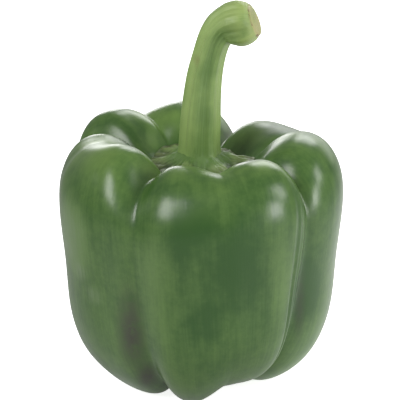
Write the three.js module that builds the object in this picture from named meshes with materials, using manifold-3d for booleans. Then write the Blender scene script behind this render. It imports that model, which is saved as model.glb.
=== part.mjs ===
// Green bell pepper, standing upright on its lobes. Millimetres, +Z up.
//
// Three grown parts, each one closed solid: the fruit, the calyx (the ribbed disc in the hollow
// at the top) and the stem (the bent stalk, ending in the knob where it was cut off).
// Azimuths are in degrees, from +X towards +Y. The fruit's front faces -Y.

import * as THREE from 'three';
import { ParametricGeometry } from 'three/addons/geometries/ParametricGeometry.js';
import { mergeVertices } from 'three/addons/utils/BufferGeometryUtils.js';
import Module from 'manifold-3d';

// ---- Fruit: driving dimensions ----

// Half outlines from the middle of the top, over the shoulder and down the side, to the middle
// of the underside, as [radius, height] control points of a smooth curve. The first follows the
// middle of a lobe, and the second follows a full crease between two lobes.
const LOBE_OUTLINE = [
  [0, 66.5], [7, 66.5], [12.5, 67], [17.5, 69.5], [21, 77], [30, 81], [39, 77], [44.5, 67], [44.5, 55],
  [42.5, 40], [42, 25.5], [38, 13], [31, 4], [20, -2.5], [12, 1.5], [6, 8], [0, 10],
];
const CREASE_OUTLINE = [
  [0, 66.5], [7, 66.5], [11.5, 66.5], [15, 67.5], [21, 70.5], [27, 71], [34, 69], [39.5, 62], [40, 51],
  [38.5, 38], [36.5, 26.5], [33, 16], [26, 7.5], [18.5, 5.5], [11.5, 6], [6, 9], [0, 10],
];

// Two ribs to a lobe. reach widens the side; crestOut and crestUp shift the shoulder's crest;
// footOut and footUp shift the foot that the lobe ends in.
const RIBS = [
  { azimuth: 1, reach: 0.2, crestOut: 1.5, crestUp: 0.8, footOut: 0.7, footUp: -0.5 },
  { azimuth: 41, reach: 2, crestOut: -0.5, crestUp: -4.5, footOut: 0, footUp: 1 },
  { azimuth: 103, reach: 0.5, crestOut: -1, crestUp: 0.5, footOut: 0, footUp: -0.3 },
  { azimuth: 145, reach: 1, crestOut: 3, crestUp: 0, footOut: 0, footUp: -0.3 },
  { azimuth: 176, reach: -1.5, crestOut: 0.5, crestUp: -2.4, footOut: 3, footUp: 1 },
  { azimuth: 220, reach: -0.2, crestOut: 0, crestUp: 1.8, footOut: -1, footUp: -0.5 },
  { azimuth: 257, reach: 0.5, crestOut: -2.5, crestUp: -2, footOut: 1.5, footUp: 0.5 },
  { azimuth: 300, reach: 0, crestOut: 2, crestUp: -0.5, footOut: -2.5, footUp: 3.5 },
];

// Deep creases part the four lobes, and a shallow one dents the middle of each lobe's shoulder.
// Top, side and foot come one after the other in depth, as shares of the way from the lobe
// outline to the crease outline, and in soft, which rounds the crease's bottom. twist turns the
// crease, in degrees, at the side and at the foot. fade is the outline position where the top's
// depth gives way to the side's.
const CREASES = [
  { azimuth: 16.5, twist: [0, 4], depth: [0.6, 0, 0.15], soft: [0.5, 0.9, 0.6], fade: 5.2 },
  { azimuth: 69, twist: [0, 0], depth: [1.1, 1.05, 1], soft: [0.12, 0.37, 0.12], fade: 7.5 },
  { azimuth: 121, twist: [0, 1], depth: [0.5, 0, 0.15], soft: [0.25, 0.6, 0.3], fade: 6.3 },
  { azimuth: 157, twist: [0, 1], depth: [1.05, 1, 1], soft: [0.12, 0.37, 0.12], fade: 7.5 },
  { azimuth: 193, twist: [0, 0], depth: [0.04, 0, 0], soft: [0.7, 0.9, 0.5], fade: 5 },
  { azimuth: 239, twist: [4.5, 9], depth: [0.9, 0.4, 0.9], soft: [0.8, 1.2, 0.12], fade: 5.9 },
  { azimuth: 282.5, twist: [0, 5], depth: [0.75, 0, 0.3], soft: [0.5, 1, 0.7], fade: 4.6 },
  { azimuth: 323.5, twist: [0, -4], depth: [0.8, 1.05, 0.85], soft: [0.12, 0.37, 0.12], fade: 7.5 },
];

const LOBE_ROUNDNESS = 2.6; // higher is flatter between creases and steeper beside them
const TOP_ARC = 0.75;       // bulge of a lobe beside its creases, at the top and foot
const SIDE_ARC = 0.9;       // the same on the side
const REST_HEIGHT = -0.9;   // the feet are flat here, where the fruit stands

// Positions along the outlines, counted in control points.
const CREST_ROW = 5;
const FOOT_ROW = 13;
const CREST_SPREAD = 2.2;
const FOOT_FADE_ROW = 11;
const FADE_WIDTH = 0.7;
const SIDE_START_ROW = 4.5;
const SIDE_END_ROW = 14.5;
const SIDE_FADE_WIDTH = 0.8;
const SIDE_TWIST_ROW = 6.4;
const FOOT_TWIST_ROW = 9.5;

// ---- Calyx and stem: driving dimensions ----

const GAP = 0.35;            // between touching pieces
const SEPALS = 6;            // ridges of the stem that run on as ribs of the calyx
const SEPAL_AZIMUTH = 246;
const CALYX_RADIUS = 16.8;
const CALYX_POINT_DEPTH = 0.7;
const CALYX_RIM_THICKNESS = 0.8;
const CALYX_RIB_HEIGHT = 0.6;
const CALYX_HUB_RADIUS = 7.2;
const CALYX_HUB_HEIGHT = 73.4;
const CALYX_SLOPE = 1.8;     // higher makes the calyx fall away faster beside the hub

// The stem's middle line, [x, y, z], from the calyx to the cut end, and its radius there.
const STEM_LINE = [
  { at: [0.4, 0, CALYX_HUB_HEIGHT + GAP], radius: 6.5 },
  { at: [0.4, 0, 75.5], radius: 6.1 },
  { at: [0.5, 0, 78], radius: 5.95 },
  { at: [0.8, 0, 84], radius: 5.8 },
  { at: [1.2, 0, 90.5], radius: 5.45 },
  { at: [2, 0, 98], radius: 5.05 },
  { at: [3.4, -0.2, 104.7], radius: 4.7 },
  { at: [5, -0.5, 109.8], radius: 4.8 },
  { at: [7.2, -0.8, 113], radius: 5.4 },
  { at: [10, -1.2, 114.3], radius: 6.6 },
  { at: [13, -1.7, 114.9], radius: 7 },
  { at: [15.4, -2, 115.5], radius: 6.3 },
  { at: [16.7, -2.2, 115.9], radius: 5.2 },
  { at: [17.2, -2.3, 116.1], radius: 4.3 },
];
const STEM_RIDGE_HEIGHT = 0.45;
const STEM_RIDGE_END = 0.7;  // share of the stem's length where its ridges start to fade

// ---- Mesh fineness ----

const STRIPS_BETWEEN_CREASES = 9;
const FRUIT_ROWS = 46;
const CALYX_STRIPS = 48;
const CALYX_ROWS = 7;
const STEM_STRIPS = 24;
const STEM_ROWS = 28;

// ---- Shared shape helpers ----

const radians = THREE.MathUtils.degToRad;
const lerp = THREE.MathUtils.lerp;

function fadeIn(x) {
  return 1 / (1 + Math.exp(-x));
}

function bump(x) {
  return Math.exp(-x * x);
}

// A uniform cubic B-spline through an outline's neighbourhood; its ends are mirrored in the axis.
function outlineAt(outline, row) {
  const last = outline.length - 1;
  const start = Math.min(Math.floor(row), last - 1);
  const t = row - start;
  const weights = [
    (1 - t) ** 3 / 6,
    (3 * t ** 3 - 6 * t ** 2 + 4) / 6,
    (-3 * t ** 3 + 3 * t ** 2 + 3 * t + 1) / 6,
    t ** 3 / 6,
  ];
  const point = { radius: 0, height: 0 };
  weights.forEach((weight, i) => {
    const index = start - 1 + i;
    const beyond = index < 0 || index > last;
    const mirrored = index < 0 ? -index : 2 * last - index;
    const [radius, height] = outline[beyond ? mirrored : index];
    point.radius += weight * (beyond ? -radius : radius);
    point.height += weight * height;
  });
  return point;
}

// The two entries on either side of an azimuth in a ring sorted by azimuth, and how far between.
function neighbours(ring, azimuth) {
  const turned = ((azimuth - ring[0].azimuth) % 360 + 360) % 360 + ring[0].azimuth;
  let index = ring.length - 1;
  while (ring[index].azimuth > turned) index -= 1;
  const before = ring[index];
  const after = ring[(index + 1) % ring.length];
  const span = (after.azimuth - before.azimuth + 360) % 360;
  return { before, after, across: (turned - before.azimuth) / span };
}

// A value that eases from one entry of a ring to the next.
function easedValue(ring, azimuth, name) {
  const { before, after, across } = neighbours(ring, azimuth);
  return lerp(before[name], after[name], THREE.MathUtils.smoothstep(across, 0, 1));
}

// ---- Fruit ----

// 1 in the middle between two creases and 0 on a crease, with a rounded bottom.
function archBetweenCreases(tau, softness, arc) {
  const height = 1 - Math.abs(tau) ** LOBE_ROUNDNESS;
  const round = Math.hypot(height, softness) - softness;
  return (round / (Math.hypot(1, softness) - softness)) ** arc;
}

// A point of the fruit's skin: azimuth round the fruit, row along the outlines.
function fruitPoint(azimuth, row) {
  const { before, after, across } = neighbours(CREASES, azimuth);
  const blend = THREE.MathUtils.smoothstep(across, 0, 1);
  const mix = (name, index) => lerp(before[name][index], after[name][index], blend);

  const onTop = fadeIn((lerp(before.fade, after.fade, blend) - row) / FADE_WIDTH);
  const onFoot = fadeIn((row - FOOT_FADE_ROW) / FADE_WIDTH);
  const onSide = 1 - onTop - onFoot;
  const along = (name) => mix(name, 0) * onTop + mix(name, 1) * onSide + mix(name, 2) * onFoot;
  const arch = archBetweenCreases(2 * across - 1, along('soft'), lerp(TOP_ARC, SIDE_ARC, onSide));
  const share = 1 - along('depth') * (1 - arch);

  const atCrest = bump((row - CREST_ROW) / CREST_SPREAD);
  const atFoot = bump((row - FOOT_ROW) / CREST_SPREAD);
  const belowCrest = fadeIn((row - SIDE_START_ROW) / SIDE_FADE_WIDTH);
  const aboveFoot = fadeIn((SIDE_END_ROW - row) / SIDE_FADE_WIDTH);
  const rib = (name) => easedValue(RIBS, azimuth, name);
  const out = rib('reach') * belowCrest * aboveFoot + rib('crestOut') * atCrest + rib('footOut') * atFoot;
  const up = rib('crestUp') * atCrest + rib('footUp') * atFoot;

  const lobe = outlineAt(LOBE_OUTLINE, row);
  const crease = outlineAt(CREASE_OUTLINE, row);
  const sideTwist = mix('twist', 0) * fadeIn((row - SIDE_TWIST_ROW) / FADE_WIDTH);
  const footTwist = (mix('twist', 1) - mix('twist', 0)) * fadeIn(row - FOOT_TWIST_ROW);
  return {
    azimuth: azimuth + sideTwist + footTwist,
    radius: lerp(crease.radius, lobe.radius, share) + out,
    height: lerp(crease.height + up / 2, lobe.height + up, share),
  };
}

// Azimuths that always land on the creases, so that no crease is skipped between two strips.
function stripAzimuth(u) {
  const place = u * CREASES.length;
  const index = Math.min(Math.floor(place), CREASES.length - 1);
  const from = CREASES[index].azimuth;
  const to = index + 1 < CREASES.length ? CREASES[index + 1].azimuth : CREASES[0].azimuth + 360;
  return lerp(from, to, place - index);
}

// The fruit's height at a radius inside the top hollow.
function hollowHeight(azimuth, radius) {
  let low = 0;
  let high = 4;
  for (let step = 0; step < 24; step += 1) {
    const middle = (low + high) / 2;
    if (fruitPoint(azimuth, middle).radius < radius) low = middle;
    else high = middle;
  }
  return fruitPoint(azimuth, low).height;
}

function placeAround(target, radius, azimuth, height) {
  target.set(radius * Math.cos(radians(azimuth)), radius * Math.sin(radians(azimuth)), height);
}

// ---- Closed solids ----

// A closed skin from a function of u, once round, and v, from the lower pole to the upper pole.
function closedSkin(pointAt, strips, rows) {
  const geometry = new ParametricGeometry(pointAt, strips, rows);
  geometry.deleteAttribute('normal');
  geometry.deleteAttribute('uv');
  const welded = mergeVertices(geometry, 1e-4);
  const corners = [];
  for (let i = 0; i < welded.index.count; i += 3) {
    const [a, b, c] = [0, 1, 2].map((k) => welded.index.getX(i + k));
    if (a !== b && b !== c && c !== a) corners.push(a, b, c);
  }
  welded.setIndex(corners);
  return welded;
}

const wasm = await Module();
wasm.setup();

function toManifold(geometry) {
  return new wasm.Manifold(new wasm.Mesh({
    numProp: 3,
    vertProperties: new Float32Array(geometry.attributes.position.array),
    triVerts: new Uint32Array(geometry.index.array),
  }));
}

function toGeometry(solid) {
  const mesh = solid.getMesh();
  const geometry = new THREE.BufferGeometry();
  geometry.setAttribute('position', new THREE.BufferAttribute(mesh.vertProperties, 3));
  geometry.setIndex(new THREE.BufferAttribute(mesh.triVerts, 1));
  return geometry;
}

// Everything below REST_HEIGHT, as a block that cuts the feet flat.
function blockBelowRest() {
  const size = 120;
  const block = new THREE.BoxGeometry(size, size, size);
  block.deleteAttribute('normal');
  block.deleteAttribute('uv');
  block.translate(0, 0, REST_HEIGHT - size / 2);
  return mergeVertices(block);
}

function fruitGeometry() {
  const lastRow = LOBE_OUTLINE.length - 1;
  const skin = closedSkin((u, v, target) => {
    const onAxis = v === 0 || v === 1;
    const point = fruitPoint(onAxis ? 0 : stripAzimuth(u % 1), (1 - v) * lastRow);
    placeAround(target, onAxis ? 0 : point.radius, point.azimuth, point.height);
  }, STRIPS_BETWEEN_CREASES * CREASES.length, FRUIT_ROWS);
  return toGeometry(toManifold(skin).subtract(toManifold(blockBelowRest())));
}

// 1 along the middle of each sepal and -1 between two; the angle is in radians.
function sepalWave(angle) {
  return Math.cos(SEPALS * (angle - radians(SEPAL_AZIMUTH)));
}

// The calyx follows the hollow under it and falls, ribbed, from a flat hub to a thin pointed rim.
function calyxGeometry() {
  return closedSkin((u, v, target) => {
    const azimuth = (u % 1) * 360;
    const wave = sepalWave(radians(azimuth));
    const rim = CALYX_RADIUS + CALYX_POINT_DEPTH * wave;
    const rimTop = hollowHeight(azimuth, rim) + GAP + CALYX_RIM_THICKNESS;
    const underneath = v < 0.5;
    const radius = rim * (underneath ? 2 * v : 2 - 2 * v);
    const slope = Math.max(0, (radius - CALYX_HUB_RADIUS) / (rim - CALYX_HUB_RADIUS));
    const rib = CALYX_RIB_HEIGHT * wave * Math.sin(Math.PI * slope);
    const top = lerp(rimTop, CALYX_HUB_HEIGHT, (1 - slope) ** CALYX_SLOPE) + rib;
    const bottom = hollowHeight(radius > 0 ? azimuth : 0, radius) + GAP;
    placeAround(target, radius, azimuth, underneath ? bottom : top);
  }, CALYX_STRIPS, CALYX_ROWS * 2);
}

// The stem: a ridged tube round its middle line, with a flat foot and a rounded cut end.
function stemGeometry() {
  const line = new THREE.CatmullRomCurve3(STEM_LINE.map(({ at }) => new THREE.Vector3(...at)));
  const radii = STEM_LINE.map(({ radius }) => radius);
  const side = new THREE.Vector3(0, 1, 0);
  return closedSkin((u, v, target) => {
    const row = Math.round(v * STEM_ROWS);
    const along = THREE.MathUtils.clamp((row - 1) / (STEM_ROWS - 2), 0, 1);
    const onAxis = row === 0 || row === STEM_ROWS;
    const place = along * (radii.length - 1);
    const index = Math.min(Math.floor(place), radii.length - 2);
    const angle = (u % 1) * 2 * Math.PI;
    const ridged = 1 - THREE.MathUtils.smoothstep(along, STEM_RIDGE_END, 1);
    const ridge = STEM_RIDGE_HEIGHT * ridged * sepalWave(angle);
    const radius = onAxis ? 0 : lerp(radii[index], radii[index + 1], place - index) + ridge;
    const tangent = line.getTangent(along);
    const across = new THREE.Vector3().crossVectors(side, tangent).normalize();
    const sideways = new THREE.Vector3().crossVectors(tangent, across);
    target.copy(line.getPoint(along));
    target.addScaledVector(across, radius * Math.cos(angle));
    target.addScaledVector(sideways, radius * Math.sin(angle));
  }, STEM_STRIPS, STEM_ROWS);
}

// ---- The part ----

function grownPart(name, geometry, color, roughness) {
  geometry.computeVertexNormals();
  const mesh = new THREE.Mesh(geometry, new THREE.MeshStandardMaterial({ color, roughness, metalness: 0 }));
  mesh.name = name;
  return mesh;
}

const bellPepper = new THREE.Group();
bellPepper.add(grownPart('pepper_body', fruitGeometry(), 0x4f7d3c, 0.3));
bellPepper.add(grownPart('calyx', calyxGeometry(), 0x5d6e3c, 0.7));
bellPepper.add(grownPart('stem', stemGeometry(), 0x7d9f4e, 0.55));

// The part's origin is under the middle of its bounding box, at the height where it stands.
const extent = new THREE.Box3().setFromObject(bellPepper);
const middle = extent.getCenter(new THREE.Vector3());
bellPepper.position.set(-middle.x, -middle.y, -extent.min.z);

export default bellPepper;
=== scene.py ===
"""Looks of a green bell pepper that stands upright on its lobes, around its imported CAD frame.

Lengths are millimetres in the pepper's own growing frame and become metres as the meshes are made.
Azimuths are degrees from +X towards +Y. The pepper's front faces -Y.
"""
import math

import bpy
import numpy as np
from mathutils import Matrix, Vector


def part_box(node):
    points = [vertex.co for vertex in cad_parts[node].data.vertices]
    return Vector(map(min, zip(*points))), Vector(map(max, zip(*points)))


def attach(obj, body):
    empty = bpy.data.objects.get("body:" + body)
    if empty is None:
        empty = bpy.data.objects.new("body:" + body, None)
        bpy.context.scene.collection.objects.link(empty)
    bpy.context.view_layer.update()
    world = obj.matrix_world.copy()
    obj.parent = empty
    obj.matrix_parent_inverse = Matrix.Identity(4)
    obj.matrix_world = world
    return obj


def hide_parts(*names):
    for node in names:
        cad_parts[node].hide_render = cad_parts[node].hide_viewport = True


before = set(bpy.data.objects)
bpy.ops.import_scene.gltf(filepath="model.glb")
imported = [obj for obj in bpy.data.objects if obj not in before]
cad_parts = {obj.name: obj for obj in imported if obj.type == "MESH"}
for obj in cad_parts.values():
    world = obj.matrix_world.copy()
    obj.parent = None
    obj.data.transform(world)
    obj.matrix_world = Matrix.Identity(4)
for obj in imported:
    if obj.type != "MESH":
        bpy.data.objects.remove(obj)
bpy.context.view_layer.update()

MM = 0.001

# ---- Fruit: the same outlines, ribs and creases as the CAD body ----

# Half outlines, [radius, height], from the middle of the top to the middle of the underside.
LOBE_OUTLINE = [
    (0, 66.5), (7, 66.5), (12.5, 67), (17.5, 69.5), (21, 77), (30, 81), (39, 77), (44.5, 67), (44.5, 55),
    (42.5, 40), (42, 25.5), (38, 13), (31, 4), (20, -2.5), (12, 1.5), (6, 8), (0, 10),
]
CREASE_OUTLINE = [
    (0, 66.5), (7, 66.5), (11.5, 66.5), (15, 67.5), (21, 70.5), (27, 71), (34, 69), (39.5, 62), (40, 51),
    (38.5, 38), (36.5, 26.5), (33, 16), (26, 7.5), (18.5, 5.5), (11.5, 6), (6, 9), (0, 10),
]

# azimuth, reach, crest out, crest up, foot out, foot up
RIBS = np.array([
    (1, 0.2, 1.5, 0.8, 0.7, -0.5),
    (41, 2, -0.5, -4.5, 0, 1),
    (103, 0.5, -1, 0.5, 0, -0.3),
    (145, 1, 3, 0, 0, -0.3),
    (176, -1.5, 0.5, -2.4, 3, 1),
    (220, -0.2, 0, 1.8, -1, -0.5),
    (257, 0.5, -2.5, -2, 1.5, 0.5),
    (300, 0, 2, -0.5, -2.5, 3.5),
])

# azimuth, twist at side and foot, depth at top, side and foot, softness at top, side and foot,
# row where the top fades
CREASES = np.array([
    (16.5, 0, 4, 0.6, 0, 0.15, 0.5, 0.9, 0.6, 5.2),
    (69, 0, 0, 1.1, 1.05, 1, 0.12, 0.37, 0.12, 7.5),
    (121, 0, 1, 0.5, 0, 0.15, 0.25, 0.6, 0.3, 6.3),
    (157, 0, 1, 1.05, 1, 1, 0.12, 0.37, 0.12, 7.5),
    (193, 0, 0, 0.04, 0, 0, 0.7, 0.9, 0.5, 5),
    (239, 4.5, 9, 0.9, 0.4, 0.9, 0.8, 1.2, 0.12, 5.9),
    (282.5, 0, 5, 0.75, 0, 0.3, 0.5, 1, 0.7, 4.6),
    (323.5, 0, -4, 0.8, 1.05, 0.85, 0.12, 0.37, 0.12, 7.5),
])
LOBE_ROUNDNESS = 2.6        # higher is flatter between creases and steeper beside them
TOP_ARC = 0.75              # bulge of a lobe beside its creases, at the top and foot
SIDE_ARC = 0.9              # the same on the side
REST_HEIGHT = -0.9          # the feet are flat here, where the fruit stands

# Rows: positions along the outlines, counted in control points.
CREST_ROW = 5
FOOT_ROW = 13
CREST_SPREAD = 2.2
FOOT_FADE_ROW = 11
FADE_WIDTH = 0.7
SIDE_START_ROW = 4.5
SIDE_END_ROW = 14.5
SIDE_FADE_WIDTH = 0.8
SIDE_TWIST_ROW = 6.4
FOOT_TWIST_ROW = 9.5

# Fine pleats beside the right front crease, and the rows where they start and end.
PLEAT_AZIMUTH = 311.5
PLEAT_WIDTH = 4
PLEATS = 2
PLEAT_DEPTH = 0.8
PLEAT_START_ROW = 7.2
PLEAT_END_ROW = 12
PLEAT_FADE_WIDTH = 0.4

STRIPS_BETWEEN_CREASES = 52
FRUIT_ROWS = 220

HOLLOW_ROWS = 4             # the hollow at the top ends above this row
HALVINGS = 24               # how finely a place in the hollow is searched for

# Where the skin is painted paler or darker green, as centre, half size and strength: partly the skin's own
# tone, darker in the middle of the front, and partly painted light and shade on the front and sides.
TONE_LIGHT_AND_SHADE_SPOTS = [
    ((0, -42, 67), (9, 8, 8), -0.3),
    ((12, -42, 52), (15, 12, 26), -0.24),
    ((-4, -42, 62), (10, 12, 14), -0.28),
    ((-12, -41, 46), (8, 12, 26), 0.24),
    ((-6, -36, 12), (9, 14, 16), 0.2),
    ((24, -32, 46), (5, 10, 26), 0.3),
    ((2, -42, 34), (8, 10, 12), -0.3),
    ((-9, -39, 26), (4.5, 8, 13), 0.2),
    ((33, -22, 36), (9, 12, 18), -0.35),
    ((-38, -22, 54), (9, 14, 18), 0.5),
    # In the hollow at the top: a painted lit band on a back lobe's ridge, then painted shade in the
    # hollow.
    ((-14.5, 16, 73), (3, 7, 9), 0.4),
    ((-8, 17, 72), (4, 7, 8), -0.5),
    ((-22, 6, 72), (8, 9, 8), -0.3),
    ((19, 13, 73), (10, 10, 9), -0.3),
]
# Where a pale sheen is painted on the left lobe, as a painted reflection, the same way.
PAINTED_SHEEN_SPOTS = [
    ((-38, -22, 57), (8, 12, 14), 0.35),
    ((-40, -17, 48), (4, 8, 4), 0.5),
    ((-36, -24, 43), (4, 8, 4.5), 0.5),
    ((-32, -29, 37), (4.5, 8, 4.5), 0.4),
]
# Where the two front creases are painted brownish-dark, as painted shade partly with the skin's own brown
# blotches, the same way.
CREASE_SHADE_SPOTS = [
    ((-20, -34, 28), (6.5, 10, 22), 1),
    ((-15.5, -29, 10), (5, 9, 12), 1),
    ((31, -22, 32), (2.5, 6, 22), 0.55),
]

# ---- Calyx and stem ----

CALYX_RADIUS = 16.8
CALYX_POINT_DEPTH = 0.7
CALYX_RIM_THICKNESS = 0.7
CALYX_RIB_HEIGHT = 0.6
CALYX_RIB_PLACE = 0.7       # less than 1 puts the ribs' highest point nearer the hub
CALYX_SINK = 0.3            # how far its underside dips into the fruit's skin
CALYX_HUB_RADIUS = 6
CALYX_HUB_HEIGHT = 73.8
CALYX_SLOPE = 2.2           # higher makes the calyx fall away faster beside the hub
CALYX_STRIPS = 360
CALYX_ROWS = 70

# The calyx's wrinkles: height, waves round it, how far and how often they sway round it, and how
# they slant from the hub to the rim.
WRINKLES = [
    (0.2, 23, 3, 3, 5),
    (0.13, 41, 2, 7, -6),
    (0.12, 0, 2, 9, 18),
]

# The stem's middle line, (x, y, z), from the calyx to the cut end, and its radius there.
STEM_LINE = [
    ((0.4, 0, 71.2), 7.4),
    ((0.4, 0, 72.4), 6.8),
    ((0.4, 0, 74.5), 6.2),
    ((0.5, 0, 78), 5.95),
    ((0.8, 0, 84), 5.8),
    ((1.2, 0, 90.5), 5.45),
    ((2, 0, 98), 5.05),
    ((3.4, -0.2, 104.7), 4.7),
    ((5, -0.5, 109.8), 4.8),
    ((7.2, -0.8, 113), 5.4),
    ((10, -1.2, 114.3), 6.6),
    ((13, -1.7, 114.9), 7),
    ((15.4, -2, 115.5), 6.3),
    ((16.7, -2.2, 115.9), 5.2),
    ((17.2, -2.3, 116.1), 4.3),
]
SEPALS = 6                  # ridges of the stem that run on as ribs of the calyx
SEPAL_AZIMUTH = 246
STEM_RIDGE_HEIGHT = 0.4
STEM_RIDGE_FADE = 0.3       # share of the stem's length over which its ridges fade at the cut end
STEM_FINE_RIDGES = 19
STEM_FINE_HEIGHT = 0.07
STEM_FINE_SWAY = 2          # how far the fine ridges sway, and how often round and along the stem
STEM_SWAYS_AROUND = 2
STEM_SWAYS_ALONG = 5
# Broad bands of painted shade round the stem, darker green, with bands of painted light between them.
STEM_SHADE_BANDS = 3            # broad and darker
STEM_SHADE_BAND_AZIMUTH = 277
STEM_STRIPS = 240
STEM_ROWS = 300

# ---- Light ----

WORLD_DIM = 0.26                  # the dim studio around
BACKDROP = 1.5                    # the white backdrop behind the pepper
BACKDROP_EDGE = (0.85, 0.97)      # cosines of the angle from its middle where it ends and is full
BACKDROP_TOWARDS = (74, 5)

SOFTBOX_DISTANCE = 0.9
SOFTBOX_TARGET = (0, 0, 0.06)

# name, azimuth, elevation, width and height in metres, brightness
SOFTBOXES = [
    ("front_left_softbox", 227, 38, 0.36, 0.52, 8.5),
    ("front_right_softbox", 328, 4, 0.26, 0.4, 11),
    ("right_softbox", 347, 28, 0.26, 0.36, 7.5),
    ("back_softbox", 74, 33, 0.48, 0.34, 4.5),
    ("back_left_softbox", 100, 8, 0.24, 0.24, 3.5),
    ("left_softbox", 177, 23, 0.3, 0.16, 0.7),
]
FLOOR_SIZE = 6
FLOOR_HEIGHT = -0.0001              # a hair under the feet
FLOOR_WHITE = (0.95, 0.95, 0.95, 1)
FLOOR_GLOW = (0.85, 0.85, 0.85, 1)
FLOOR_ROUGHNESS = 0.9

# What the floor throws back onto the pepper: beside it and behind, in front, and far away.
FLOOR_BOUNCE = (0.9, 0.9, 0.9, 1)
FLOOR_FRONT_BOUNCE = (0.45, 0.45, 0.45, 1)
FLOOR_FAR_BOUNCE = (0.38, 0.38, 0.38, 1)
FLOOR_BOUNCE_GLOW = 0.4             # share of it that glows by itself
FLOOR_NEAR_RADIUS = 0.09
FLOOR_FAR_RADIUS = 0.36
FLOOR_FRONT_EDGE = (-0.95, -0.3)    # Y of the direction where only the front counts, and only the rest
FLOOR_SHADE = 0.45                  # brightness of a dimmer sector, on the left and a little behind
FLOOR_SHADE_AZIMUTH = 155
FLOOR_SHADE_EDGE = (0.35, 0.85)     # cosines of the angle from its middle where it ends and is full

# ---- Camera ----

CAMERA_ELEVATION = 19.8
CAMERA_DISTANCE = 803
CAMERA_AIM = (0.6, 0, 57.6)
CAMERA_LENS = 233.3
CAMERA_SENSOR = 36

# ---- Colours and grain ----

DARK_GREEN = (0.032, 0.09, 0.018, 1)
MID_GREEN = (0.108, 0.198, 0.05, 1)
YELLOW_GREEN = (0.19, 0.31, 0.07, 1)
# The grey of the painted sheen on the left lobe.
SHEEN_GREY = (0.2, 0.26, 0.16, 1)
# The brown of the painted shade in the front creases.
CREASE_SHADE_BROWN = (0.054, 0.058, 0.038, 1)

CALYX_DARK = (0.045, 0.08, 0.025, 1)
CALYX_PALE = (0.19, 0.28, 0.09, 1)
CALYX_DRY = (0.08, 0.088, 0.034, 1)

STEM_GREEN = (0.11, 0.2, 0.05, 1)
STEM_YELLOW = (0.32, 0.45, 0.145, 1)
STEM_PALE = (0.36, 0.44, 0.125, 1)
SCAR_TAN = (0.46, 0.44, 0.19, 1)
SCAR_RED = (0.17, 0.1, 0.045, 1)
STEM_SPOTS = [
    ((-1, -5, 104), (2.2, 5, 3), 0.9),
]

# Noises: scale, detail, roughness.
SKIN_CLOUDS = (48, 4, 0.6)
SKIN_SPECKLE = (320, 4, 0.75)
SKIN_PORES = (900, 2, 0.5)
SKIN_DENTS = (70, 2, 0.4)
CALYX_PATCHES = (160, 4, 0.6)
CALYX_GRAIN = (900, 3, 0.6)
STEM_CLOUDS = (130, 3, 0.5)
SCAR_SPECKS = (480, 3, 0.75)

# Streaks that run from one end of a piece to the other: scale round and along it, detail, roughness.
SKIN_STREAKS = (60, 0.8, 3, 0.6)
SKIN_BROAD_STREAKS = (13, 0.3, 2, 0.5)
STEM_STREAKS = (14, 5, 4, 0.7)

# Surface roughness, and the depth of the fine relief in metres.
SKIN_ROUGHNESS = 0.28
SKIN_RELIEF = 0.0006
CALYX_ROUGHNESS = 0.5
CALYX_RELIEF = 0.0005
STEM_ROUGHNESS = 0.38
STEM_RELIEF = 0.0004


# ---- Shape helpers ----

def fade_in(x):
    return 1 / (1 + np.exp(-x))


def bump_at(x):
    return np.exp(-x * x)


def smooth(x):
    x = np.clip(x, 0, 1)
    return x * x * (3 - 2 * x)


def mix(a, b, share):
    return a + (b - a) * share


def points_around(radius, angle, height):
    return np.stack([radius * np.cos(angle), radius * np.sin(angle), height], -1)


def outline_at(outline, row):
    """Points of a uniform cubic B-spline whose ends are mirrored in the axis."""
    points = np.array(outline, float)
    mirrored = points * (-1, 1)
    padded = np.vstack([mirrored[1], points, mirrored[-2]])
    start = np.clip(np.floor(row).astype(int), 0, len(points) - 2)
    t = row - start
    weights = (
        (1 - t) ** 3 / 6,
        (3 * t ** 3 - 6 * t ** 2 + 4) / 6,
        (-3 * t ** 3 + 3 * t ** 2 + 3 * t + 1) / 6,
        t ** 3 / 6,
    )
    return sum(w[..., None] * padded[start + i] for i, w in enumerate(weights))


def ring_value(ring, azimuth):
    """Each column of a ring of azimuths, eased from one entry to the next, and the share between."""
    knots = np.append(ring[:, 0], ring[0, 0] + 360)
    turned = (azimuth - knots[0]) % 360 + knots[0]
    index = np.clip(np.searchsorted(knots, turned, side="right") - 1, 0, len(ring) - 1)
    across = (turned - knots[index]) / (knots[index + 1] - knots[index])
    columns = np.vstack([ring[:, 1:], ring[:1, 1:]])
    return mix(columns[index], columns[index + 1], smooth(across)[..., None]), across


def pleat_depth(azimuth, row):
    turns = np.clip((azimuth % 360 - PLEAT_AZIMUTH) / PLEAT_WIDTH, 0, PLEATS)
    start = fade_in((row - PLEAT_START_ROW) / PLEAT_FADE_WIDTH)
    end = fade_in((PLEAT_END_ROW - row) / PLEAT_FADE_WIDTH)
    return PLEAT_DEPTH * start * end * (1 - np.cos(2 * np.pi * turns)) / 2


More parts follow.
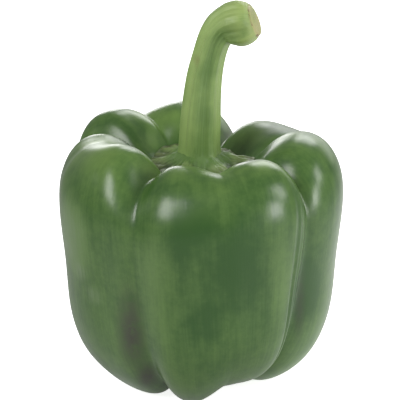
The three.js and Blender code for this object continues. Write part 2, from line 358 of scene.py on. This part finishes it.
def fruit_skin(azimuth, row):
    """Points of the fruit's skin."""
    creases, across = ring_value(CREASES, azimuth)
    twists, (top, side, foot, *softs, fade) = np.split(np.moveaxis(creases, -1, 0), [2])
    ribs, _ = ring_value(RIBS, azimuth)
    reach, crest_out, crest_up, foot_out, foot_up = np.moveaxis(ribs, -1, 0)

    on_top = fade_in((fade - row) / FADE_WIDTH)
    on_foot = fade_in((row - FOOT_FADE_ROW) / FADE_WIDTH)
    on_side = 1 - on_top - on_foot
    depth = top * on_top + side * on_side + foot * on_foot
    softness = softs[0] * on_top + softs[1] * on_side + softs[2] * on_foot
    height = 1 - np.abs(2 * across - 1) ** LOBE_ROUNDNESS
    arch = (np.hypot(height, softness) - softness) / (np.hypot(1, softness) - softness)
    arch = np.maximum(arch, 0) ** mix(TOP_ARC, SIDE_ARC, on_side)
    share = 1 - depth * (1 - arch)

    at_crest = bump_at((row - CREST_ROW) / CREST_SPREAD)
    at_foot = bump_at((row - FOOT_ROW) / CREST_SPREAD)
    below_crest = fade_in((row - SIDE_START_ROW) / SIDE_FADE_WIDTH)
    above_foot = fade_in((SIDE_END_ROW - row) / SIDE_FADE_WIDTH)
    out = reach * below_crest * above_foot + crest_out * at_crest + foot_out * at_foot
    up = crest_up * at_crest + foot_up * at_foot

    lobe = outline_at(LOBE_OUTLINE, row)
    crease = outline_at(CREASE_OUTLINE, row)
    radius = mix(crease[..., 0], lobe[..., 0], share) + out - pleat_depth(azimuth, row)
    height = mix(crease[..., 1] + up / 2, lobe[..., 1] + up, share)
    twist = twists[0] * fade_in((row - SIDE_TWIST_ROW) / FADE_WIDTH)
    twist = twist + (twists[1] - twists[0]) * fade_in(row - FOOT_TWIST_ROW)
    return points_around(radius, np.radians(azimuth + twist), height)


def hollow_height(azimuth, radius):
    """The fruit's height at a radius inside the hollow at its top."""
    low = np.zeros_like(azimuth)
    high = np.full_like(azimuth, HOLLOW_ROWS)
    for _ in range(HALVINGS):
        middle = (low + high) / 2
        points = fruit_skin(azimuth, middle)
        inside = np.hypot(points[..., 0], points[..., 1]) < radius
        low = np.where(inside, middle, low)
        high = np.where(inside, high, middle)
    return fruit_skin(azimuth, low)[..., 2]


def closed_mesh(name, points, place):
    """A smooth closed mesh from points[strip][row], whose first and last rows are its poles."""
    strips, rows = points.shape[:2]
    rings = rows - 2
    body = points[:, 1:-1].reshape(-1, 3)
    corners = np.vstack([body, points[:, 0].mean(0), points[:, -1].mean(0)])
    index = np.arange(strips * rings).reshape(strips, rings)
    after = np.roll(index, -1, axis=0)
    quads = np.stack([index[:, :-1], after[:, :-1], after[:, 1:], index[:, 1:]], -1).reshape(-1, 4)
    first_pole, last_pole = strips * rings, strips * rings + 1
    fans = [(first_pole, after[i, 0], index[i, 0]) for i in range(strips)]
    fans += [(last_pole, index[i, -1], after[i, -1]) for i in range(strips)]
    mesh = bpy.data.meshes.new(name)
    mesh.from_pydata(((corners + place) * MM).tolist(), [], quads.tolist() + fans)
    mesh.shade_smooth()
    piece = bpy.data.objects.new(name, mesh)
    bpy.context.collection.objects.link(piece)
    return piece


def add_attribute(piece, name, values):
    """Stores one number per point; the poles get the mean of the rows beside them."""
    inner = values[:, 1:-1].reshape(-1)
    full = np.concatenate([inner, [values[:, 0].mean(), values[:, -1].mean()]])
    layer = piece.data.attributes.new(name, "FLOAT", "POINT")
    layer.data.foreach_set("value", full.astype(np.float32))


def add_turn(piece, angle):
    """Stores which way each point faces from the axis, for the streaks."""
    add_attribute(piece, "turn_x", np.cos(angle))
    add_attribute(piece, "turn_y", np.sin(angle))


# ---- Meshes ----

def fruit_grid():
    between = np.arange(STRIPS_BETWEEN_CREASES) / STRIPS_BETWEEN_CREASES
    starts = CREASES[:, 0]
    spans = np.diff(np.append(starts, starts[0] + 360))
    azimuth = (starts[:, None] + spans[:, None] * between).reshape(-1)
    row = np.linspace(len(LOBE_OUTLINE) - 1, 0, FRUIT_ROWS + 1)
    return np.meshgrid(azimuth, row, indexing="ij")


def make_fruit(place):
    azimuth, row = fruit_grid()
    points = fruit_skin(azimuth, row)
    points[..., 2] = np.maximum(points[..., 2], REST_HEIGHT)
    fruit = closed_mesh("fruit_skin", points, place)
    add_attribute(fruit, "row", row)
    add_turn(fruit, np.radians(azimuth))
    return fruit


def sepal_wave(angle):
    """1 along the middle of each sepal and -1 between two."""
    return np.cos(SEPALS * (angle - math.radians(SEPAL_AZIMUTH)))


def make_calyx(place):
    azimuth, v = np.meshgrid(
        np.arange(CALYX_STRIPS) * 360 / CALYX_STRIPS,
        np.linspace(0, 1, 2 * CALYX_ROWS + 1),
        indexing="ij",
    )
    around = np.radians(azimuth)
    rim = CALYX_RADIUS + CALYX_POINT_DEPTH * sepal_wave(around)
    radius = rim * np.where(v < 0.5, 2 * v, 2 - 2 * v)
    bottom = hollow_height(azimuth, radius) - CALYX_SINK
    slope = np.clip((radius - CALYX_HUB_RADIUS) / (rim - CALYX_HUB_RADIUS), 0, 1)
    rim_top = hollow_height(azimuth, rim) + CALYX_RIM_THICKNESS
    top = mix(rim_top, CALYX_HUB_HEIGHT, (1 - slope) ** CALYX_SLOPE)
    rib = CALYX_RIB_HEIGHT * sepal_wave(around) * np.sin(np.pi * slope ** CALYX_RIB_PLACE)
    wrinkle = sum(
        depth * np.sin(waves * around + sway * np.sin(sways * around) + slant * slope)
        for depth, waves, sway, sways, slant in WRINKLES
    )
    height = np.where(v < 0.5, bottom, top + rib + wrinkle * smooth(3 * slope))
    calyx = closed_mesh("calyx_disc", points_around(radius, around, height), place)
    add_attribute(calyx, "slope", slope)
    add_attribute(calyx, "crest", wrinkle + rib)
    return calyx


def spline_through(values, along):
    """A Catmull-Rom curve through evenly spaced values, at along from 0 to 1."""
    values = np.array(values, float)
    padded = np.concatenate([2 * values[:1] - values[1:2], values, 2 * values[-1:] - values[-2:-1]])
    place = along * (len(values) - 1)
    start = np.clip(np.floor(place).astype(int), 0, len(values) - 2)
    t = place - start
    if values.ndim > 1:
        t = t[..., None]
    before, here, after, beyond = (padded[start + i] for i in range(4))
    return here + 0.5 * t * (
        after - before
        + t * (2 * before - 5 * here + 4 * after - beyond + t * (3 * (here - after) + beyond - before))
    )


def with_ends(values):
    """Repeats the first and the last row, for the poles."""
    return np.concatenate([values[:, :1], values, values[:, -1:]], axis=1)


def make_stem(place):
    line = [at for at, _ in STEM_LINE]
    radii = [radius for _, radius in STEM_LINE]
    along = np.linspace(0, 1, STEM_ROWS - 1)
    middle = spline_through(line, along)
    radius = spline_through(radii, along)
    tangent = np.gradient(middle, axis=0)
    tangent /= np.linalg.norm(tangent, axis=1, keepdims=True)
    across = np.cross((0, 1, 0), tangent)
    across /= np.linalg.norm(across, axis=1, keepdims=True)
    sideways = np.cross(tangent, across)
    angle = np.arange(STEM_STRIPS)[:, None] * 2 * np.pi / STEM_STRIPS + 0 * along
    sway = STEM_FINE_SWAY * np.sin(STEM_SWAYS_AROUND * angle + STEM_SWAYS_ALONG * along)
    fine = STEM_FINE_HEIGHT * np.sin(STEM_FINE_RIDGES * angle + sway)
    ridges = STEM_RIDGE_HEIGHT * sepal_wave(angle) + fine
    reach = radius + ridges * smooth((1 - along) / STEM_RIDGE_FADE)
    ring = (
        middle[None]
        + across[None] * (reach * np.cos(angle))[..., None]
        + sideways[None] * (reach * np.sin(angle))[..., None]
    )
    foot, tip = (np.broadcast_to(middle[i], (STEM_STRIPS, 1, 3)) for i in (0, -1))
    stem = closed_mesh("stem_stalk", np.concatenate([foot, ring, tip], axis=1), place)
    around = with_ends(angle)
    add_attribute(stem, "shade_band", np.cos(STEM_SHADE_BANDS * (around - math.radians(STEM_SHADE_BAND_AZIMUTH))))
    add_attribute(stem, "along", with_ends(along + 0 * angle))
    add_turn(stem, around)
    return stem


# ---- Materials ----

class Shader:
    """Short ways to add nodes to one material."""

    def __init__(self, name):
        self.material = bpy.data.materials.new(name)
        self.material.use_nodes = True
        self.tree = self.material.node_tree
        self.surface = self.tree.nodes["Principled BSDF"]

    def node(self, kind, inputs=None, **settings):
        made = self.tree.nodes.new(kind)
        for name, value in settings.items():
            setattr(made, name, value)
        for name, value in (inputs or {}).items():
            self.put(made.inputs[name], value)
        return made

    def put(self, socket, value):
        if isinstance(value, bpy.types.NodeSocket):
            self.tree.links.new(value, socket)
        else:
            socket.default_value = value

    def math(self, operation, a, b):
        return self.node("ShaderNodeMath", {0: a, 1: b}, operation=operation).outputs[0]

    def times(self, a, b):
        return self.math("MULTIPLY", a, b)

    def total(self, *parts):
        """The sum of values, each times its weight."""
        value, weight = parts[0]
        result = self.times(value, weight)
        for value, weight in parts[1:]:
            result = self.math("ADD", result, self.times(value, weight))
        return result

    def ramp(self, value, low, high, to_low=0.0, to_high=1.0):
        """A smooth step from to_low to to_high as the value goes from low to high."""
        inputs = {"Value": value, 1: low, 2: high, 3: to_low, 4: to_high}
        return self.node("ShaderNodeMapRange", inputs, interpolation_type="SMOOTHSTEP").outputs[0]

    def noise(self, vector, scale, detail, roughness):
        inputs = {"Vector": vector, "Scale": scale, "Detail": detail, "Roughness": roughness}
        return self.node("ShaderNodeTexNoise", inputs).outputs["Fac"]

    def blend(self, share, a, b):
        made = self.node("ShaderNodeMix", data_type="RGBA")
        self.put(made.inputs[0], share)
        self.put(made.inputs[6], a)
        self.put(made.inputs[7], b)
        return made.outputs[2]

    def attribute(self, name):
        return self.node("ShaderNodeAttribute", attribute_name=name).outputs["Fac"]

    def position(self):
        return self.node("ShaderNodeTexCoord").outputs["Object"]

    def stretched(self, vector, scale):
        return self.node("ShaderNodeVectorMath", {0: vector, 1: scale}, operation="MULTIPLY").outputs[0]

    def streaks(self, along, scale_around, scale_along, detail, roughness):
        """Noise drawn out in the direction in which the piece has grown."""
        place = self.node("ShaderNodeCombineXYZ", {
            "X": self.times(self.attribute("turn_x"), scale_around),
            "Y": self.times(self.attribute("turn_y"), scale_around),
            "Z": self.times(self.attribute(along), scale_along),
        })
        return self.noise(place.outputs[0], 1.0, detail, roughness)

    def relief(self, height, depth):
        bump = self.node("ShaderNodeBump", {"Height": height, "Strength": 1, "Distance": depth})
        self.set(Normal=bump.outputs[0])

    def near(self, vector, place, centre, size):
        """1 in the middle of a soft ellipsoid and 0 outside it; centre and size are in millimetres."""
        middle = tuple((np.array(centre) + place) * MM)
        offset = self.node("ShaderNodeVectorMath", {0: vector, 1: middle}, operation="SUBTRACT").outputs[0]
        shares = self.stretched(offset, tuple(1 / (MM * side) for side in size))
        length = self.node("ShaderNodeVectorMath", {0: shares}, operation="LENGTH").outputs["Value"]
        return self.ramp(length, 1.0, 0.0)

    def set(self, **values):
        for name, value in values.items():
            self.put(self.surface.inputs[name.replace("_", " ")], value)


def skin_material(place):
    """Deep green, clouded, fine streaks stem to foot, paler shoulders; painted light, shade and sheen."""
    s = Shader("pepper_skin")
    at = s.position()
    row = s.attribute("row")
    streaks = s.streaks("row", *SKIN_STREAKS)
    broad_streaks = s.streaks("row", *SKIN_BROAD_STREAKS)
    clouds = s.noise(at, *SKIN_CLOUDS)
    speckle = s.noise(at, *SKIN_SPECKLE)
    # Spots of painted light and shade, partly the skin's own tone.
    tone_light_and_shade_spots = [(s.near(at, place, centre, size), strength) for centre, size, strength in TONE_LIGHT_AND_SHADE_SPOTS]
    tone_and_shading = s.total((streaks, 0.2), (broad_streaks, 0.25), (clouds, 0.42), (speckle, 0.36), *tone_light_and_shade_spots)
    green = s.blend(s.ramp(tone_and_shading, 0.37, 0.92), DARK_GREEN, MID_GREEN)
    shoulder = s.times(s.ramp(row, 7.5, 5.0), s.ramp(row, 2.5, 4.5))
    shoulder = s.times(shoulder, s.ramp(clouds, 0.35, 0.7))
    green = s.blend(s.times(shoulder, 0.6), green, YELLOW_GREEN)
    # Painted sheen: a pale grey-green reflection in bands on the left lobe.
    for centre, size, strength in PAINTED_SHEEN_SPOTS:
        share = s.times(s.near(at, place, centre, size), s.ramp(streaks, 0.2, 0.7))
        green = s.blend(s.times(share, strength), green, SHEEN_GREY)
    # Painted shade, brownish-dark, in the two front creases.
    for centre, size, strength in CREASE_SHADE_SPOTS:
        share = s.times(s.near(at, place, centre, size), s.ramp(speckle, 0.15, 0.55))
        green = s.blend(s.times(share, strength), green, CREASE_SHADE_BROWN)
    s.set(Base_Color=green, Roughness=SKIN_ROUGHNESS, Specular_IOR_Level=0.5)
    pores = s.noise(at, *SKIN_PORES)
    dents = s.noise(at, *SKIN_DENTS)
    s.relief(s.total((pores, 0.02), (dents, 0.5), (streaks, 0.05)), SKIN_RELIEF)
    return s.material


def calyx_material():
    """Pale green ribs, darker wrinkle hollows as painted light and shade; dry brown patches towards the
    rim.
    """
    s = Shader("calyx_skin")
    at = s.position()
    slope = s.attribute("slope")
    patches = s.noise(at, *CALYX_PATCHES)
    grain = s.noise(at, *CALYX_GRAIN)
    # Painted light and shade: paler where the ribs and wrinkles stand up, darker in the hollows, mixed
    # with random patches.
    crest = s.total((s.attribute("crest"), 1.0), (patches, 0.9))
    color = s.blend(s.ramp(crest, -0.1, 1.0), CALYX_DARK, CALYX_PALE)
    dry = s.times(s.ramp(slope, 0.3, 0.9), s.ramp(patches, 0.38, 0.62))
    color = s.blend(s.times(dry, 0.75), color, CALYX_DRY)
    color = s.blend(s.ramp(slope, 0.5, 0.2), color, STEM_GREEN)
    s.set(Base_Color=color, Roughness=CALYX_ROUGHNESS)
    s.relief(s.total((patches, 0.6), (grain, 0.4)), CALYX_RELIEF)
    return s.material


def stem_material(place):
    """Yellow-green and green in bands of painted light and shade, streaked along; a tan scar on the cut
    end.
    """
    s = Shader("stem_skin")
    at = s.position()
    along = s.attribute("along")
    streaks = s.streaks("along", *STEM_STREAKS)
    clouds = s.noise(at, *STEM_CLOUDS)
    # Painted shade and light: darker and paler green in three bands each round the stem.
    tone_and_shading = s.total((s.attribute("shade_band"), -0.26), (streaks, 0.45), (clouds, 0.6))
    color = s.blend(s.ramp(tone_and_shading, 0.1, 0.85), STEM_GREEN, STEM_YELLOW)
    color = s.blend(s.times(s.ramp(along, 0.34, 0.1), 0.5), color, STEM_GREEN)
    ageing = s.times(s.ramp(along, 0.6, 0.95), s.ramp(clouds, 0.2, 0.55))
    color = s.blend(s.times(ageing, 0.7), color, STEM_PALE)

    end = s.total((along, 1.0), (clouds, 0.06))
    scar = s.blend(s.ramp(clouds, 0.3, 0.6), STEM_PALE, SCAR_TAN)
    color = s.blend(s.ramp(end, 0.955, 1.0), color, scar)
    specks = s.ramp(s.noise(at, *SCAR_SPECKS), 0.5, 0.6)
    rim = s.times(s.ramp(end, 0.94, 0.97), s.ramp(end, 1.04, 1.0))
    color = s.blend(s.times(s.times(specks, rim), 0.85), color, SCAR_RED)
    for centre, size, strength in STEM_SPOTS:
        share = s.times(s.near(at, place, centre, size), s.ramp(streaks, 0.3, 0.6))
        color = s.blend(s.times(share, strength), color, SCAR_RED)
    s.set(Base_Color=color, Roughness=STEM_ROUGHNESS)
    s.relief(s.total((streaks, 0.5), (clouds, 0.3)), STEM_RELIEF)
    return s.material


# ---- Stage ----

def direction(azimuth, elevation):
    a, e = math.radians(azimuth), math.radians(elevation)
    return Vector((math.cos(a) * math.cos(e), math.sin(a) * math.cos(e), math.sin(e)))


def make_camera(place):
    camera = bpy.data.objects.new("camera", bpy.data.cameras.new("camera"))
    camera.data.lens = CAMERA_LENS
    camera.data.sensor_width = CAMERA_SENSOR
    aim = (Vector(CAMERA_AIM) + Vector(place)) * MM
    towards = direction(270, CAMERA_ELEVATION)
    camera.location = aim + towards * CAMERA_DISTANCE * MM
    camera.rotation_euler = towards.to_track_quat("Z", "Y").to_euler()
    bpy.context.collection.objects.link(camera)
    bpy.context.scene.camera = camera


def make_floor():
    """A floor that is plain white to the camera, and throws back less light from some sides."""
    bpy.ops.mesh.primitive_plane_add(size=FLOOR_SIZE, location=(0, 0, FLOOR_HEIGHT))
    floor = bpy.context.object
    floor.name = "floor"
    s = Shader("floor_white")
    path = s.node("ShaderNodeLightPath").outputs["Is Camera Ray"]
    flat = s.stretched(s.position(), (1, 1, 0))
    towards = s.node("ShaderNodeVectorMath", {0: flat}, operation="NORMALIZE").outputs[0]
    to_back = s.node("ShaderNodeSeparateXYZ", {0: towards}).outputs["Y"]
    distance = s.node("ShaderNodeVectorMath", {0: flat}, operation="LENGTH").outputs["Value"]
    close = s.ramp(distance, FLOOR_FAR_RADIUS, FLOOR_NEAR_RADIUS)
    near = s.blend(s.ramp(to_back, *FLOOR_FRONT_EDGE), FLOOR_FRONT_BOUNCE, FLOOR_BOUNCE)
    shade_axis = tuple(direction(FLOOR_SHADE_AZIMUTH, 0))
    to_shade = s.node("ShaderNodeVectorMath", {0: towards, 1: shade_axis}, operation="DOT_PRODUCT")
    shade = s.ramp(to_shade.outputs["Value"], *FLOOR_SHADE_EDGE, 1.0, FLOOR_SHADE)
    bounce = s.stretched(s.blend(close, FLOOR_FAR_BOUNCE, near), shade)
    s.set(Base_Color=s.blend(path, bounce, FLOOR_WHITE), Roughness=FLOOR_ROUGHNESS)
    bounce_glow = s.blend(FLOOR_BOUNCE_GLOW, (0, 0, 0, 1), bounce)
    s.set(Emission_Color=s.blend(path, bounce_glow, FLOOR_GLOW), Emission_Strength=1)
    floor.data.materials.append(s.material)


def make_softbox(name, azimuth, elevation, width, height, brightness):
    lamp = bpy.data.lights.new(name, "AREA")
    lamp.shape = "RECTANGLE"
    lamp.size, lamp.size_y = width, height
    lamp.energy = brightness * math.pi * width * height
    light = bpy.data.objects.new(name, lamp)
    towards = direction(azimuth, elevation)
    light.location = Vector(SOFTBOX_TARGET) + towards * SOFTBOX_DISTANCE
    light.rotation_euler = towards.to_track_quat("Z", "Y").to_euler()
    bpy.context.collection.objects.link(light)


def make_world():
    """White all round for the camera. As light, a dim studio with a white backdrop behind."""
    world = bpy.data.worlds.new("studio")
    world.use_nodes = True
    tree = world.node_tree
    nodes, link = tree.nodes, tree.links.new
    place = nodes.new("ShaderNodeTexCoord")
    angle = nodes.new("ShaderNodeVectorMath")
    angle.operation = "DOT_PRODUCT"
    link(place.outputs["Generated"], angle.inputs[0])
    angle.inputs[1].default_value = direction(*BACKDROP_TOWARDS)
    light = nodes.new("ShaderNodeMapRange")
    light.interpolation_type = "SMOOTHSTEP"
    link(angle.outputs["Value"], light.inputs["Value"])
    for index, number in enumerate((*BACKDROP_EDGE, WORLD_DIM, BACKDROP), start=1):
        light.inputs[index].default_value = number
    path = nodes.new("ShaderNodeLightPath")
    strength = nodes.new("ShaderNodeMix")
    link(path.outputs["Is Camera Ray"], strength.inputs[0])
    link(light.outputs[0], strength.inputs[2])
    strength.inputs[3].default_value = 1
    background = nodes["Background"]
    background.inputs["Color"].default_value = (1, 1, 1, 1)
    link(strength.outputs[0], background.inputs["Strength"])
    bpy.context.scene.world = world


def growing_place():
    """Where the pepper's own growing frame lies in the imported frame, in millimetres."""
    azimuth, row = fruit_grid()
    points = fruit_skin(azimuth, row)
    low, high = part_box("pepper_body")
    own_low, own_high = points.min((0, 1)), points.max((0, 1))
    place = (np.array(low) + np.array(high)) / 2 / MM - (own_low + own_high) / 2
    place[2] = low[2] / MM - REST_HEIGHT
    return place


def main():
    place = growing_place()
    pieces = [
        (make_fruit(place), "pepper_body", "pepper_skin", skin_material(place)),
        (make_calyx(place), "calyx", "calyx_skin", calyx_material()),
        (make_stem(place), "stem", "stem_skin", stem_material(place)),
    ]
    for piece, node, slot, material in pieces:
        piece.data.materials.append(material)
        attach(piece, "root")
        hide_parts(node)

    make_floor()
    make_camera(place)
    make_world()
    for softbox in SOFTBOXES:
        make_softbox(*softbox)
    bpy.context.scene.view_settings.view_transform = "Standard"


main()
